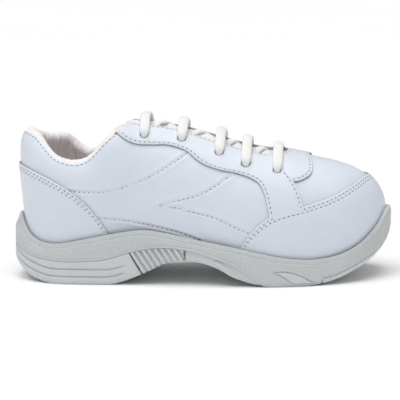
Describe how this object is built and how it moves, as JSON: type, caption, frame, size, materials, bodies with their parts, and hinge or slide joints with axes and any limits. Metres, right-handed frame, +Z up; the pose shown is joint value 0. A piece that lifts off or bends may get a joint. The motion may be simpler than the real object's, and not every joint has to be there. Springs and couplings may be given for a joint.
{
  "type": "cheer shoe",
  "caption": "Low-cut lace-up cheer shoe for the right foot: overlaid leather upper, padded collar, hinged tongue, laced throat and a cupped rubber sole with a raised arch.",
  "frame": {"origin": "middle of the shoe's bounding box in plan, at the height of the ground it stands on", "axes": "+X from heel to toe, +Y towards the inner side of the right foot, +Z up"},
  "size_m": [0.2463, 0.0918, 0.1074],
  "materials": {
    "upper_leather": "smooth white synthetic leather",
    "lining_fabric": "soft warm grey knit",
    "midsole_rubber": "matt pale grey with a fine sparkle",
    "outsole_rubber": "matt pale bluish grey",
    "lace_cotton": "white oval braid",
    "pad_foam": "open foam",
    "board": "pressed fibre board",
    "stiffener": "thermoplastic sheet",
    "shank_steel": "plain",
    "aglet": "clear-white film"
  },
  "bodies": {
    "shoe": {"toe_cap": "upper_leather", "heel_foxing": "upper_leather", "eyestay_lateral": "upper_leather", "eyestay_medial": "upper_leather", "throat_patch": "upper_leather", "quarter_lateral": "upper_leather", "quarter_medial": "upper_leather", "vamp": "upper_leather", "heel_counter": "stiffener", "toe_puff": "stiffener", "eyestay_backer_lateral": "stiffener", "eyestay_backer_medial": "stiffener", "collar_foam": "pad_foam", "quarter_lining": "lining_fabric", "vamp_lining": "lining_fabric", "midsole": "midsole_rubber", "outsole_heel": "outsole_rubber", "outsole_forefoot": "outsole_rubber", "arch_ribs_lateral": "outsole_rubber", "arch_ribs_medial": "outsole_rubber", "forefoot_flare_lateral": "outsole_rubber", "forefoot_flare_medial": "outsole_rubber", "forefoot_crescent_lateral": "outsole_rubber", "forefoot_crescent_medial": "outsole_rubber", "shank": "shank_steel", "insole_board": "board", "sockliner": "lining_fabric", "lace": "lace_cotton", "aglet_start": "aglet", "aglet_end": "aglet"},
    "tongue": {"tongue_face": "lining_fabric", "tongue_foam": "pad_foam", "tongue_lining": "lining_fabric"}
  },
  "joints": [
    {"name": "tongue_hinge", "type": "hinge", "parent": "shoe", "child": "tongue", "pos_m": [0.06, 0, 0.066], "axis": [0, 1, 0], "range_deg": [-14, 0], "stiffness_Nm_per_rad": 0.4, "springref_deg": 8.59}
  ]
}
